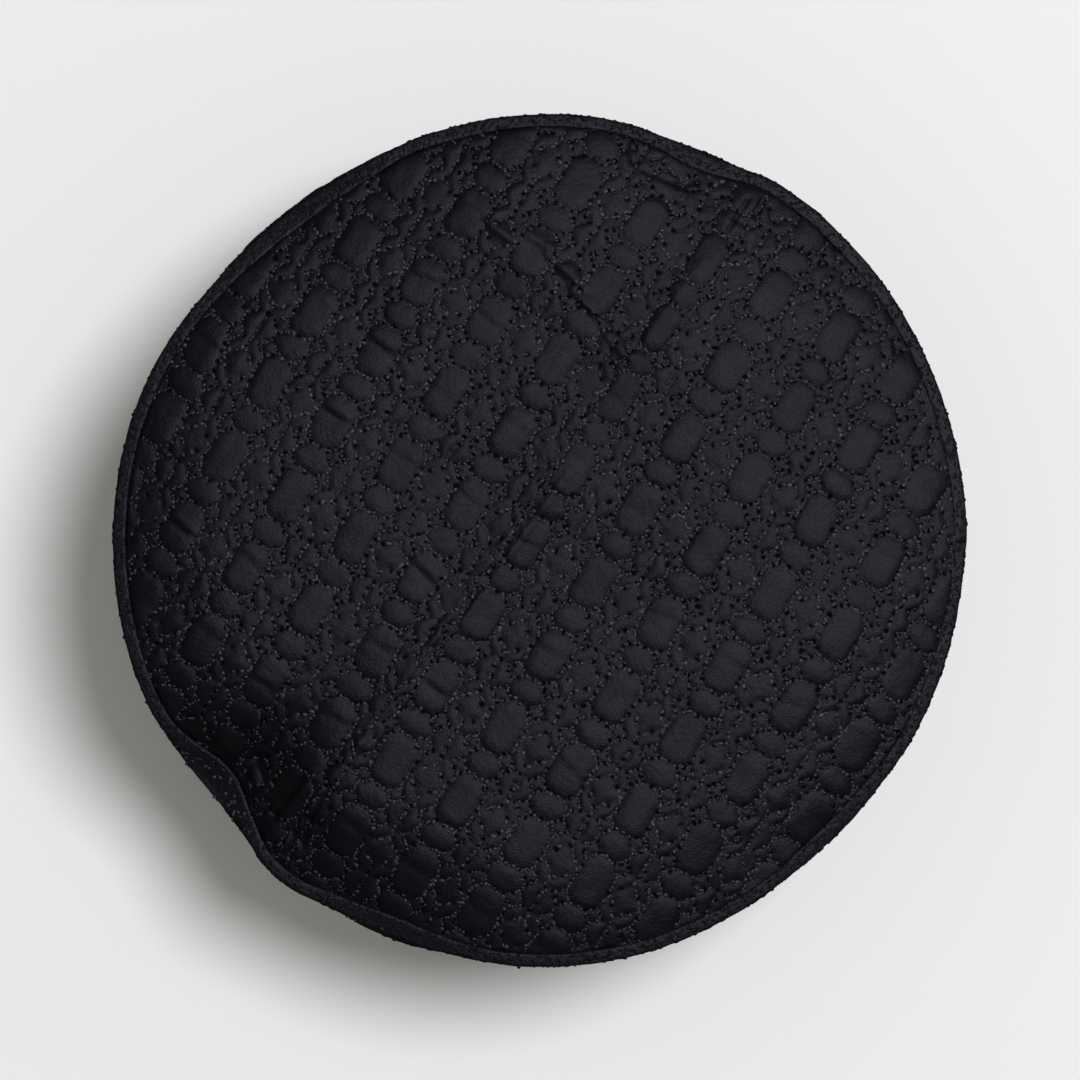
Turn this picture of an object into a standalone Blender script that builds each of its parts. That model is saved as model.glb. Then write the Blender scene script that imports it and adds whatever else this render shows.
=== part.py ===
"""A round, flat-topped prayer cap of quilted cotton, standing on its rim with its opening down.

Metres, +Z up. The cap rests on Z = 0, and X and Y cross at the middle of its outline from above.
The sizes and tables are in millimetres and degrees, and angles run from +X towards +Y.
"""

import math
from collections import namedtuple

import bmesh
import bpy
from mathutils import Vector

MM = 0.001

# The cap's main sizes
EDGE_RADIUS = 95.3
BAND_HEIGHT = 78.0
BAND_WALL = 2.6
CROWN_WALL = 2.4
CROWN_RISE = 6.5
SEAM_GAP = 0.3

# The rim is a slight oval, longer along the line on which the cap was folded
RIM_RADIUS = 93.6
RIM_OVAL = 0.7
FOLD_DIRECTION = 54.2

# The crown stays level in its middle and falls away over its last third
SHOULDER_POWER = 5.0
SINK_POWER = 5.0

# How far up the rim's oval still shows, and how far down the sinking of the top edge does
RIM_REACH = 50.0
SINK_REACH = 45.0

# The rounded corners beside the seam, as far in and as deep
SEAM_CORNER = 1.2

# How finely the pieces are divided
SPOKES = 80
SPOKE_CROWDING = 0.25
BAND_LEVELS = 11
LEVEL_CROWDING = 1.6
TOP_STEPS = 4
CROWN_RINGS = 15
CORNER_STEPS = 2

# Where the crown pulls the band's top edge in, and how far down the band that still shows
Pull = namedtuple("Pull", "angle amount spread reach")

PULLED_IN = (
    Pull(67.0, 2.1, 8.5, 14.0),
    Pull(127.0, 4.3, 23.0, 34.0),
    Pull(216.5, 4.7, 9.5, 22.0),
    Pull(249.0, 2.1, 10.5, 9.0),
    Pull(314.0, 2.4, 20.0, 24.0),
    Pull(350.0, 0.7, 20.0, 12.0),
)

# Where the top edge sinks
Sink = namedtuple("Sink", "angle amount spread")

SUNK = (
    Sink(40.0, 1.5, 18.0),
    Sink(60.0, 2.5, 8.0),
    Sink(125.0, 1.5, 16.0),
    Sink(218.0, 4.0, 11.0),
    Sink(230.0, 5.5, 26.0),
    Sink(313.0, 1.5, 16.0),
)

# Where the band stands out a little or lies in, from rim to top. At 56 and 232 degrees it was folded.
Wave = namedtuple("Wave", "angle amount spread")

BAND_WAVES = (
    Wave(1.5, 0.4, 5.0),
    Wave(40.0, 0.45, 9.0),
    Wave(50.0, 0.5, 3.5),
    Wave(57.5, 0.95, 4.5),
    Wave(68.0, -0.5, 5.0),
    Wave(108.5, 0.55, 5.0),
    Wave(206.5, 0.7, 4.5),
    Wave(217.5, -1.1, 5.0),
    Wave(228.5, 0.35, 2.5),
    Wave(233.0, 1.3, 6.0),
    Wave(301.5, 0.3, 3.5),
    Wave(330.0, 0.3, 5.0),
)

# A fold in the crown: its two ends, its height, and how far it spreads to its left and right
Fold = namedtuple("Fold", "x0 y0 x1 y1 height left right")

CREASE = Fold(46.8, 75.3, -59.0, -71.3, 0.6, 6.0, 6.0)
CROWN_FOLDS = (
    CREASE,
    Fold(36.0, 68.0, -12.0, 3.0, -0.3, 5.0, 5.0),
    Fold(-10.9, 69.0, 18.0, 39.9, 0.9, 4.0, 5.0),
    Fold(-64.0, -50.0, -49.0, -71.0, -1.2, 6.0, 5.0),
)


def clear_scene():
    for old in list(bpy.data.objects):
        bpy.data.objects.remove(old, do_unlink=True)


def smooth_step(value):
    """Runs from 0 to 1 with a level start and end."""
    part = min(max(value, 0.0), 1.0)
    return part * part * (3.0 - 2.0 * part)


def bell(angle, row):
    """The size of a table's row at an angle in radians, which fades to both sides of the row's own."""
    away = (math.degrees(angle) - row.angle + 180.0) % 360.0 - 180.0
    return row.amount * math.exp(-(away / row.spread) ** 2)


def pulled_in(angle, below_top):
    """How far the band leans in over its round at a distance under its top edge."""
    return sum(bell(angle, row) * smooth_step(1.0 - below_top / row.reach) for row in PULLED_IN)


def sunk(angle):
    return sum(bell(angle, row) for row in SUNK)


def round_radius(angle):
    """The band's plain round, with its soft waves."""
    return EDGE_RADIUS + sum(bell(angle, row) for row in BAND_WAVES)


def seam_radius(angle):
    """The crown's edge, which lies inside the band's top."""
    return round_radius(angle) - pulled_in(angle, 0.0) - BAND_WALL - SEAM_GAP


def rim_radius(angle):
    turned = angle - math.radians(FOLD_DIRECTION)
    return RIM_RADIUS + RIM_OVAL * math.cos(2.0 * turned)


def fold_height(x, y, fold):
    """How much a fold lifts the crown at a point: a ridge or a groove that fades past its ends."""
    start = Vector((fold.x0, fold.y0))
    run = Vector((fold.x1, fold.y1)) - start
    length = run.length
    run.normalize()
    offset = Vector((x, y)) - start
    along = offset.dot(run)
    across = run.x * offset.y - run.y * offset.x
    past_end = max(-along, along - length, 0.0)
    spread = fold.left if across > 0.0 else fold.right
    return fold.height * math.exp(-(across ** 2 + past_end ** 2) / spread ** 2)


def crown_height(x, y):
    """The height of the crown's upper face."""
    angle = math.atan2(y, x)
    share = math.hypot(x, y) / seam_radius(angle)
    height = BAND_HEIGHT + CROWN_RISE * (1.0 - share ** SHOULDER_POWER)
    height -= sunk(angle) * share ** SINK_POWER
    return height + sum(fold_height(x, y, fold) for fold in CROWN_FOLDS)


def crease_hub():
    """The point of the crease nearest to the cap's middle, from which the spokes start."""
    start = Vector((CREASE.x0, CREASE.y0))
    run = Vector((CREASE.x1, CREASE.y1)) - start
    run.normalize()
    return start - start.dot(run) * run


def spoke_angles(hub):
    """One angle for each spoke, closer together beside the crease, and two of them on it."""
    crease = math.atan2(CREASE.y0 - CREASE.y1, CREASE.x0 - CREASE.x1)
    angles = []
    for index in range(SPOKES):
        turn = math.tau * index / SPOKES
        wanted = crease + turn - SPOKE_CROWDING * math.sin(2.0 * turn)
        angle = wanted
        for _ in range(8):
            x = seam_radius(angle) * math.cos(angle) - hub.x
            y = seam_radius(angle) * math.sin(angle) - hub.y
            miss = (wanted - math.atan2(y, x) + math.pi) % math.tau - math.pi
            angle += miss
        angles.append(angle)
    return angles


def turned_mesh(profile, poles):
    """Spins a profile of (across, up) points round Z, as a closed skin whose points can be moved."""
    mesh = bmesh.new()
    verts = [mesh.verts.new((across, 0.0, up)) for across, up in profile]
    edges = [mesh.edges.new(pair) for pair in zip(verts, verts[1:])]
    if not poles:
        edges.append(mesh.edges.new((verts[-1], verts[0])))
    bmesh.ops.spin(
        mesh,
        geom=verts + edges,
        cent=(0.0, 0.0, 0.0),
        axis=(0.0, 0.0, 1.0),
        angle=math.tau,
        steps=SPOKES,
        use_merge=True,
    )
    bmesh.ops.remove_doubles(mesh, verts=mesh.verts, dist=0.0001)
    bmesh.ops.recalc_face_normals(mesh, faces=mesh.faces)
    return mesh


def spoke_of(vert):
    """The number of the spoke that a point of a turned mesh lies on."""
    turn = math.atan2(vert.co.y, vert.co.x) % math.tau
    return round(turn / math.tau * SPOKES) % SPOKES


def band_profile():
    """The band's wall, outer face first: the distance in from its outer face, and the height."""
    corner = BAND_WALL / 2.0
    top = BAND_HEIGHT - corner
    shares = [index / BAND_LEVELS for index in range(BAND_LEVELS + 1)]
    levels = [top * (1.0 - (1.0 - share) ** LEVEL_CROWDING) for share in shares]
    outer = [(0.0, level) for level in levels]
    over = []
    for step in range(1, TOP_STEPS):
        turn = math.pi * step / TOP_STEPS
        over.append((corner - corner * math.cos(turn), top + corner * math.sin(turn)))
    inner = [(BAND_WALL, level) for level in reversed(levels)]
    return outer + over + inner


def band_point(angle, inset, height):
    """Where a point of the band's wall lies, from its distance in and its height on a plain band."""
    above_rim = smooth_step(height / RIM_REACH)
    sink = smooth_step(1.0 - (BAND_HEIGHT - height) / SINK_REACH)
    radius = rim_radius(angle) + (round_radius(angle) - rim_radius(angle)) * above_rim
    radius -= pulled_in(angle, BAND_HEIGHT - height) + inset
    up = height - sunk(angle) * sink
    return Vector((radius * math.cos(angle), radius * math.sin(angle), up))


def make_band(angles):
    mesh = turned_mesh([(EDGE_RADIUS - inset, height) for inset, height in band_profile()], poles=False)
    for vert in mesh.verts:
        inset = EDGE_RADIUS - math.hypot(vert.co.x, vert.co.y)
        vert.co = band_point(angles[spoke_of(vert)], inset, vert.co.z)
    return mesh


def crown_profile():
    """The crown's skin from its upper middle to its lower middle, as (across, up) on a flat round."""
    flat = EDGE_RADIUS - SEAM_CORNER
    rings = [flat * index / CROWN_RINGS for index in range(CROWN_RINGS + 1)]
    upper = [(across, 0.0) for across in rings]
    corner = []
    for step in range(1, CORNER_STEPS + 1):
        turn = math.pi / 2.0 * step / CORNER_STEPS
        corner.append((flat + SEAM_CORNER * math.sin(turn), SEAM_CORNER * (math.cos(turn) - 1.0)))
    lower = [(across, -CROWN_WALL) for across in [EDGE_RADIUS] + rings[::-1]]
    return upper + corner + lower


def crown_point(angle, hub, across, depth):
    """Where a point of the crown lies, from its place on the flat round."""
    edge = seam_radius(angle) * Vector((math.cos(angle), math.sin(angle)))
    spoke = edge - hub
    from_edge = EDGE_RADIUS - across
    flat_share = across / (EDGE_RADIUS - SEAM_CORNER)
    if from_edge <= SEAM_CORNER:
        reach = spoke.length - from_edge
    else:
        reach = (spoke.length - SEAM_CORNER) * flat_share
    place = hub + spoke.normalized() * reach
    return Vector((place.x, place.y, crown_height(place.x, place.y) + depth))


def make_crown(angles, hub):
    mesh = turned_mesh(crown_profile(), poles=True)
    for vert in mesh.verts:
        across = math.hypot(vert.co.x, vert.co.y)
        vert.co = crown_point(angles[spoke_of(vert)], hub, across, vert.co.z)
    return mesh


def centre_on_origin(meshes):
    """Moves all pieces together, so that the outline's middle lies on the Z axis."""
    points = [vert.co for mesh in meshes for vert in mesh.verts]
    middle = Vector((0.0, 0.0, 0.0))
    for axis in (0, 1):
        places = [point[axis] for point in points]
        middle[axis] = (min(places) + max(places)) / 2.0
    for mesh in meshes:
        bmesh.ops.translate(mesh, verts=mesh.verts, vec=-middle)


def cotton(name, colour):
    """Dull black quilted cotton."""
    material = bpy.data.materials.new(name)
    material.use_nodes = True
    shader = material.node_tree.nodes["Principled BSDF"]
    shader.inputs["Base Color"].default_value = colour
    shader.inputs["Roughness"].default_value = 0.85
    shader.inputs["Metallic"].default_value = 0.0
    return material


def add_object(name, mesh, material, collection):
    bmesh.ops.scale(mesh, verts=mesh.verts, vec=(MM, MM, MM))
    data = bpy.data.meshes.new(name)
    mesh.to_mesh(data)
    mesh.free()
    data.materials.append(material)
    data.shade_smooth()
    data.set_sharp_from_angle(angle=math.radians(50.0))
    made = bpy.data.objects.new(name, data)
    collection.objects.link(made)
    return made


def build_cap():
    clear_scene()
    cap = bpy.data.collections.new("prayer_cap")
    bpy.context.scene.collection.children.link(cap)
    hub = crease_hub()
    angles = spoke_angles(hub)
    crown = make_crown(angles, hub)
    band = make_band(angles)
    centre_on_origin((crown, band))
    add_object("crown", crown, cotton("crown_cotton", (0.017, 0.019, 0.022, 1.0)), cap)
    add_object("side_band", band, cotton("band_cotton", (0.020, 0.022, 0.024, 1.0)), cap)


build_cap()
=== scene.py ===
# %% [markdown]
# A black prayer cap in quilted cotton
#
# The cap is a flat round crown sewn on an upright band, and both are cut from one quilted cloth. It stands on
# its rim, and the camera looks straight down on it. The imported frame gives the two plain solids. Each one
# gets a cloth here with its quilted patches, folds and stitches, which keeps the solid's shape and place.

# %% Load the frame
import math
from collections import namedtuple

import bmesh
import bpy
import numpy as np
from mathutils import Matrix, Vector


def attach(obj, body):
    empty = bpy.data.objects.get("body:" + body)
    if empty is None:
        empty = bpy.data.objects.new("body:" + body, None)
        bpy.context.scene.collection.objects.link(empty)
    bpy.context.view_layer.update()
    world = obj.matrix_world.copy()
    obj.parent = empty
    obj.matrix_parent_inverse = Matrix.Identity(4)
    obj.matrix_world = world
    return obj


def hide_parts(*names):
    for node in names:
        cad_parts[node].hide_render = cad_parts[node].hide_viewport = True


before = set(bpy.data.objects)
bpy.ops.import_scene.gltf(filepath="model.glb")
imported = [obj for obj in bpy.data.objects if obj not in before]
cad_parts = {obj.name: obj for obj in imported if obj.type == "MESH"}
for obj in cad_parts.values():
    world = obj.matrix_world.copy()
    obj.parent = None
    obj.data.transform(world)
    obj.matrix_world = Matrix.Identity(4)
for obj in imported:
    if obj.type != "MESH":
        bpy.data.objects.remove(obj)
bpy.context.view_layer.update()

MM = 0.001
print("CAD nodes:", sorted(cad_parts))

# %% [markdown]
# The camera
#
# The photograph looks straight down from about a metre over the crown. From there the band's side is hidden,
# except where the crown has pulled the top edge in. The lens is chosen so that 240.5 mm at the height of
# the band's top fill the square picture.

# %% Place the camera
BAND_HEIGHT = 78.0
CAMERA_RISE = 1000.0
FIELD = 240.5
SENSOR = 36.0

camera_data = bpy.data.cameras.new("camera")
camera_data.sensor_width = SENSOR
camera_data.lens = SENSOR * CAMERA_RISE / FIELD
camera = bpy.data.objects.new("camera", camera_data)
camera.location = (0.0, 0.0, (BAND_HEIGHT + CAMERA_RISE) * MM)
bpy.context.scene.collection.objects.link(camera)
bpy.context.scene.camera = camera
print("camera height in m:", round(camera.location.z, 3), "lens in mm:", round(camera_data.lens, 1))

# %% [markdown]
# Floor and light
#
# The cap stands on a plain pale sheet. One large soft light from the upper right gives the puffs their shaded
# lower left sides and the soft shadow on the floor, and the pale world fills the rest.

# %% Make the floor and the light
bpy.context.scene.view_settings.view_transform = "Standard"

floor_data = bpy.data.meshes.new("floor")
floor_mesh = bmesh.new()
bmesh.ops.create_grid(floor_mesh, x_segments=1, y_segments=1, size=3.0)
floor_mesh.to_mesh(floor_data)
floor_mesh.free()
floor = bpy.data.objects.new("floor", floor_data)
bpy.context.scene.collection.objects.link(floor)
floor.visible_glossy = False

floor_paint = bpy.data.materials.new("pale_floor")
floor_paint.use_nodes = True
floor_shader = floor_paint.node_tree.nodes["Principled BSDF"]
floor_shader.inputs["Base Color"].default_value = (0.80, 0.80, 0.80, 1.0)
floor_shader.inputs["Roughness"].default_value = 0.9
floor_shader.inputs["Specular IOR Level"].default_value = 0.2
floor_data.materials.append(floor_paint)

LIGHT_AZIMUTH = math.radians(31.0)
LIGHT_RISE = math.radians(70.5)
LIGHT_DISTANCE = 3.0

toward_light = Vector((math.cos(LIGHT_AZIMUTH) * math.cos(LIGHT_RISE),
                       math.sin(LIGHT_AZIMUTH) * math.cos(LIGHT_RISE),
                       math.sin(LIGHT_RISE)))
window_data = bpy.data.lights.new("window", "AREA")
window_data.shape = "DISK"
window_data.size = 0.95
window_data.color = (1.0, 1.0, 1.03)
window_data.energy = 71.0
window = bpy.data.objects.new("window", window_data)
window.location = toward_light * LIGHT_DISTANCE
window.rotation_mode = "QUATERNION"
window.rotation_quaternion = toward_light.to_track_quat("Z", "Y")
bpy.context.scene.collection.objects.link(window)

world = bpy.data.worlds.new("pale_room")
world.use_nodes = True
world.node_tree.nodes["Background"].inputs["Color"].default_value = (1.0, 0.97, 0.90, 1.0)
world.node_tree.nodes["Background"].inputs["Strength"].default_value = 0.36
world.cycles_visibility.glossy = False
bpy.context.scene.world = world
print("light from", [round(value, 2) for value in window.location])

# %% [markdown]
# The shape of the cap
#
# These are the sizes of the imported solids, in millimetres and degrees. The crown pulls the band's top edge in
# at some places, and the edge sinks at others. The cloths are laid over the same shape, so they need the same
# numbers, here as functions that take whole arrays of points.

# %% The cap's sizes
EDGE_RADIUS = 95.3
BAND_WALL = 2.6
CROWN_WALL = 2.4
CROWN_RISE = 6.5
SEAM_GAP = 0.3
RIM_RADIUS = 93.6
RIM_OVAL = 0.7
FOLD_DIRECTION = 54.2
SHOULDER_POWER = 5.0
SINK_POWER = 5.0
RIM_REACH = 50.0
SINK_REACH = 45.0

Pull = namedtuple("Pull", "angle amount spread reach")
PULLED_IN = [Pull(*row) for row in (
    (67.0, 2.1, 8.5, 14.0), (127.0, 4.3, 23.0, 34.0), (216.5, 4.7, 9.5, 22.0),
    (249.0, 2.1, 10.5, 9.0), (314.0, 2.4, 20.0, 24.0), (350.0, 0.7, 20.0, 12.0),
)]

Sink = namedtuple("Sink", "angle amount spread")
SUNK = [Sink(*row) for row in (
    (40.0, 1.5, 18.0), (60.0, 2.5, 8.0), (125.0, 1.5, 16.0),
    (218.0, 4.0, 11.0), (230.0, 5.5, 26.0), (313.0, 1.5, 16.0),
)]

Wave = namedtuple("Wave", "angle amount spread")
BAND_WAVES = [Wave(*row) for row in (
    (1.5, 0.4, 5.0), (40.0, 0.45, 9.0), (50.0, 0.5, 3.5), (57.5, 0.95, 4.5),
    (68.0, -0.5, 5.0), (108.5, 0.55, 5.0), (206.5, 0.7, 4.5), (217.5, -1.1, 5.0),
    (228.5, 0.35, 2.5), (233.0, 1.3, 6.0), (301.5, 0.3, 3.5), (330.0, 0.3, 5.0),
)]
print("pulls:", len(PULLED_IN), "sinks:", len(SUNK), "waves:", len(BAND_WAVES))

# %% The band's top edge


def smooth_step(value):
    """Runs from 0 to 1 with a level start and end."""
    part = np.clip(value, 0.0, 1.0)
    return part * part * (3.0 - 2.0 * part)


def bell(angle, row):
    """The size of a table's row at each angle, which fades to both sides of the row's own."""
    away = (np.degrees(angle) - row.angle + 180.0) % 360.0 - 180.0
    return row.amount * np.exp(-(away / row.spread) ** 2)


def pulled_in(angle, below_top):
    return sum(bell(angle, row) * smooth_step(1.0 - below_top / row.reach) for row in PULLED_IN)


def sunk(angle):
    return sum(bell(angle, row) for row in SUNK)


def round_radius(angle):
    return EDGE_RADIUS + sum(bell(angle, row) for row in BAND_WAVES)


def seam_radius(angle):
    return round_radius(angle) - pulled_in(angle, 0.0) - BAND_WALL - SEAM_GAP


def rim_radius(angle):
    return RIM_RADIUS + RIM_OVAL * np.cos(2.0 * (angle - math.radians(FOLD_DIRECTION)))


quarter_turns = np.radians([0.0, 90.0, 180.0, 270.0])
print("seam radius every quarter turn:", seam_radius(quarter_turns).round(1))

# %% [markdown]
# Folds in the crown
#
# The cap was stored folded in half, which leaves a line across the crown that is raised on one side. The
# broad rise is in the solid already. The cloth adds the sharp line on it, a pinched fold beside it, and the
# small puckers where the crown is gathered into the seam at the line's two ends.

# %% The crown's height
Fold = namedtuple("Fold", "x0 y0 x1 y1 height left right")

CREASE = Fold(46.8, 75.3, -59.0, -71.3, 0.6, 6.0, 6.0)
CROWN_FOLDS = (
    CREASE,
    Fold(36.0, 68.0, -12.0, 3.0, -0.3, 5.0, 5.0),
    Fold(-10.9, 69.0, 18.0, 39.9, 0.9, 4.0, 5.0),
    Fold(-64.0, -50.0, -49.0, -71.0, -1.2, 6.0, 5.0),
)


def beside_fold(x, y, fold):
    """How far points lie across a fold's line, to its left, and how far past its ends."""
    long_x, long_y = fold.x1 - fold.x0, fold.y1 - fold.y0
    length = math.hypot(long_x, long_y)
    along = ((x - fold.x0) * long_x + (y - fold.y0) * long_y) / length
    across = (long_x * (y - fold.y0) - long_y * (x - fold.x0)) / length
    past_end = np.maximum(np.maximum(-along, along - length), 0.0)
    return across, past_end


def fold_height(x, y, fold):
    across, past_end = beside_fold(x, y, fold)
    spread = np.where(across > 0.0, fold.left, fold.right)
    return fold.height * np.exp(-(across ** 2 + past_end ** 2) / spread ** 2)


def crown_height(x, y):
    angle = np.arctan2(y, x)
    share = np.hypot(x, y) / seam_radius(angle)
    height = BAND_HEIGHT + CROWN_RISE * (1.0 - share ** SHOULDER_POWER)
    height = height - sunk(angle) * share ** SINK_POWER
    return height + sum(fold_height(x, y, fold) for fold in CROWN_FOLDS)


print("crown height at the middle:", round(float(crown_height(np.array([0.0]), np.array([0.0]))[0]), 1))

# %% The sharp lines on the folds
SHARP_FOLDS = [Fold(*row) for row in (
    (35.5, 61.5, 3.0, 16.7, 0.2, 1.8, 0.6), (4.0, 16.0, -40.0, -45.0, 0.40, 0.9, 0.9),
    (6.0, 14.5, -38.0, -46.5, 0.40, 0.9, 0.9), (-40.0, -45.0, -59.0, -71.3, 0.6, 1.8, 1.2),
    (-11.5, 70.2, -6.3, 66.0, 0.7, 2.0, 0.7), (-3.5, 68.1, 2.6, 64.4, 0.7, 1.6, 0.8),
    (2.6, 61.8, 8.5, 56.8, 1.0, 2.4, 0.7), (7.3, 55.0, 11.7, 50.0, 0.9, 2.4, 0.7),
    (12.5, 48.5, 18.5, 41.0, 0.6, 2.0, 0.9), (46.4, 76.0, 41.6, 68.6, -0.7, 0.42, 0.42),
    (49.7, 76.4, 47.6, 72.0, -0.7, 0.42, 0.42), (43.1, 71.5, 45.6, 69.9, -0.6, 0.42, 0.42),
    (22.9, 82.2, 30.7, 78.8, -0.6, 0.8, 0.8), (30.7, 78.8, 34.5, 79.8, -0.6, 0.8, 0.8),
    (20.7, 88.0, 20.7, 84.2, -0.8, 0.8, 0.8), (-57.0, -61.0, -50.5, -52.5, 0.7, 1.6, 1.6),
    (-59.7, -61.8, -53.0, -53.5, -1.5, 0.7, 0.7), (-53.3, -68.1, -51.5, -62.5, -1.5, 0.7, 0.7),
    (-51.5, -62.5, -47.0, -54.7, -1.3, 0.7, 0.7), (-63.7, -48.0, -61.9, -53.8, -1.2, 0.8, 0.8),
    (-56.1, -70.3, -54.7, -66.0, -1.2, 0.8, 0.8), (-66.0, -52.0, -60.0, -42.0, -0.6, 1.5, 1.5),
)]
print("sharp folds:", len(SHARP_FOLDS))

# %% [markdown]
# Small lumps
#
# No two quilted patches lie quite alike. A table of random heights, joined smoothly, gives lumps of any size,
# and a fixed seed gives the same lumps each run. Round the band the table repeats, so that the lumps meet.

# %% Lumps of one size


def lumps(across, up, seed, repeat=64):
    """Smooth random heights from -1 to 1, one lump to each whole step across and up."""
    table = np.random.default_rng(seed).uniform(-1.0, 1.0, (repeat, 64))
    column, row = np.floor(across), np.floor(up)
    right, above = smooth_step(across - column), smooth_step(up - row)
    near, far = column.astype(int) % repeat, (column.astype(int) + 1) % repeat
    low, high = row.astype(int) % 64, (row.astype(int) + 1) % 64
    lower = table[near, low] * (1.0 - right) + table[far, low] * right
    upper = table[near, high] * (1.0 - right) + table[far, high] * right
    return lower * (1.0 - above) + upper * above


trial = lumps(np.linspace(0.0, 30.0, 400), np.linspace(0.0, 9.0, 400), seed=1)
print("lumps run from", trial.min().round(2), "to", trial.max().round(2))

# %% [markdown]
# The quilting's chart
#
# The embroidery lies on a regular grid: 8 steps across and 9 up make one repeat. A tall octagon stands in the
# middle with a small one over it, a rosette sits at each of their corners, and a diamond fills the side. The
# chart below writes one quarter of the repeat out, point by point, and the rest mirrors it.

# %% The chart
STEP_ACROSS = 2.126
STEP_UP = 2.095
REPEAT_ACROSS = 8
REPEAT_UP = 9

QUARTER_LINES = (
    ((2, 0), (2, 2)), ((2, 2), (1, 3)), ((1, 3), (0, 3)),
    ((1, 3), (2, 4)), ((2, 4), (3, 3)), ((3, 3), (2, 2)),
    ((2, 4), (2, 4.5)), ((4, 2), (4, 4.5)), ((2, 0), (4, 2)),
)
QUARTER_HOLES = (
    (2, 0), (2, 1), (2, 2), (1, 3), (0, 3), (2, 4), (3, 3),
    (1.5, 2.5), (1.5, 3.5), (2.5, 2.5), (2.5, 3.5),
    (4, 2), (4, 3), (4, 4), (3, 1),
)


def folded(value, half):
    """Folds a whole row of repeats back on to the first half of one."""
    return half - np.abs((value % (2.0 * half)) - half)


def to_quarter(across, up):
    """Places on the cloth, in mm, brought to the charted quarter, in steps."""
    return folded(across / STEP_ACROSS, REPEAT_ACROSS / 2.0), folded(up / STEP_UP, REPEAT_UP / 2.0)


def from_lines(across, up):
    """The distance in mm from each place on the cloth to the nearest line of stitches."""
    right, above = to_quarter(across, up)
    nearest = np.full(right.shape, 99.0)
    for (x0, y0), (x1, y1) in QUARTER_LINES:
        run_x, run_y = (x1 - x0) * STEP_ACROSS, (y1 - y0) * STEP_UP
        off_x, off_y = (right - x0) * STEP_ACROSS, (above - y0) * STEP_UP
        part = np.clip((off_x * run_x + off_y * run_y) / (run_x ** 2 + run_y ** 2), 0.0, 1.0)
        nearest = np.minimum(nearest, np.hypot(off_x - part * run_x, off_y - part * run_y))
    return nearest


def from_holes(across, up):
    right, above = to_quarter(across, up)
    nearest = np.full(right.shape, 99.0)
    for x, y in QUARTER_HOLES:
        nearest = np.minimum(nearest, np.hypot((right - x) * STEP_ACROSS, (above - y) * STEP_UP))
    return nearest


print("one repeat in mm:", round(REPEAT_ACROSS * STEP_ACROSS, 2), "by", round(REPEAT_UP * STEP_UP, 2))

# %% [markdown]
# The puffs
#
# Wadding lies between the two layers of cloth, and the stitches pull them together. So each patch swells up
# from its lines of stitches like a low dome. The tall octagons swell most and the small rosettes least, and
# each needle hole draws the cloth down a little.

# %% How far the cloth swells
PUFF_TALL = 0.52
PUFF_SMALL = 0.48
PUFF_DIAMOND = 0.40
PUFF_ROSETTE = 0.27
PUFF_PLAIN = 0.44
PUFF_REACH = 2.8
PUFF_MEAN = 0.24
HOLE_DEEP = 0.30
HOLE_WIDE = 0.45


def puff(across, up):
    """The height of the quilted cloth over its lines of stitches."""
    right, above = to_quarter(across, up)
    swell = np.full(right.shape, PUFF_PLAIN)
    swell[above <= right - 2.0] = PUFF_DIAMOND
    swell[(right <= 2.0) & (above >= 3.0) & (above - right >= 2.0)] = PUFF_SMALL
    swell[(right <= 2.0) & (above <= 3.0) & (above + right <= 4.0)] = PUFF_TALL
    swell[np.abs(right - 2.0) + np.abs(above - 3.0) <= 1.0] = PUFF_ROSETTE
    from_middle = 1.0 - np.minimum(from_lines(across, up) / PUFF_REACH, 1.0)
    height = swell * (1.0 - from_middle ** 2)
    return height - HOLE_DEEP * np.exp(-(from_holes(across, up) / HOLE_WIDE) ** 2)


print("height at a tall octagon's middle:", puff(np.array([0.0]), np.array([0.0])).round(2))

# %% [markdown]
# Laying a cloth over the shape
#
# A flat pattern is easy to chart but the cap is round, so each cloth has a function that takes a place on the
# flat cloth and gives the place on the cap. A little step to each side of it shows which way the surface
# faces, and the puffs rise that way.

# %% Lift points off a surface
PROBE = 0.05


def lifted(place, across, up, lift):
    """Points on the cap, raised off it, and the directions that run across, up and out of the cloth there."""
    here = place(across, up)
    rightward = place(across + PROBE, up) - place(across - PROBE, up)
    upward = place(across, up + PROBE) - place(across, up - PROBE)
    outward = np.cross(rightward, upward)
    for run in (rightward, upward, outward):
        run /= np.linalg.norm(run, axis=1)[:, None]
    return here + outward * lift[:, None], rightward, upward, outward


# %% [markdown]
# Where the crown's cloth lies
#
# The pattern is turned on the crown by about 32 degrees, as it was cut. The cloth is gathered a little along
# the fold line, and a short table says where it was drawn a millimetre or so out of line. Moving the flat
# pattern first, before it is laid over the shape, keeps each patch and its stitches together.

# %% Turn and draw the pattern
PATTERN_TURN = math.radians(31.75)
PATTERN_OFFSET = (-1.36, -2.0)
GATHER = 0.9
GATHER_SPREAD = 4.0
GATHER_FADE = 32.0
GATHER_UPPER = 0.3

Drawn = namedtuple("Drawn", "x y to_right ahead reach")
DRAWN = [Drawn(*row) for row in (
    (15.0, 78.0, -0.2, -1.6, 20.0), (35.0, 61.0, -0.5, -0.6, 14.0), (-20.0, 77.0, -0.4, -1.4, 24.0),
    (30.0, 45.0, -1.2, 0.0, 8.0), (28.0, -5.0, 0.2, 0.8, 18.0), (-48.0, 30.0, -0.4, 0.6, 12.0),
    (66.0, -32.0, 1.15, -0.5, 24.0), (-75.0, -10.0, 0.6, 0.0, 16.0), (-75.0, 30.0, 0.5, -1.0, 12.0),
    (-30.0, -15.0, -0.9, 0.4, 10.0), (-60.0, -45.0, -0.8, 0.2, 12.0),
)]


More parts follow.
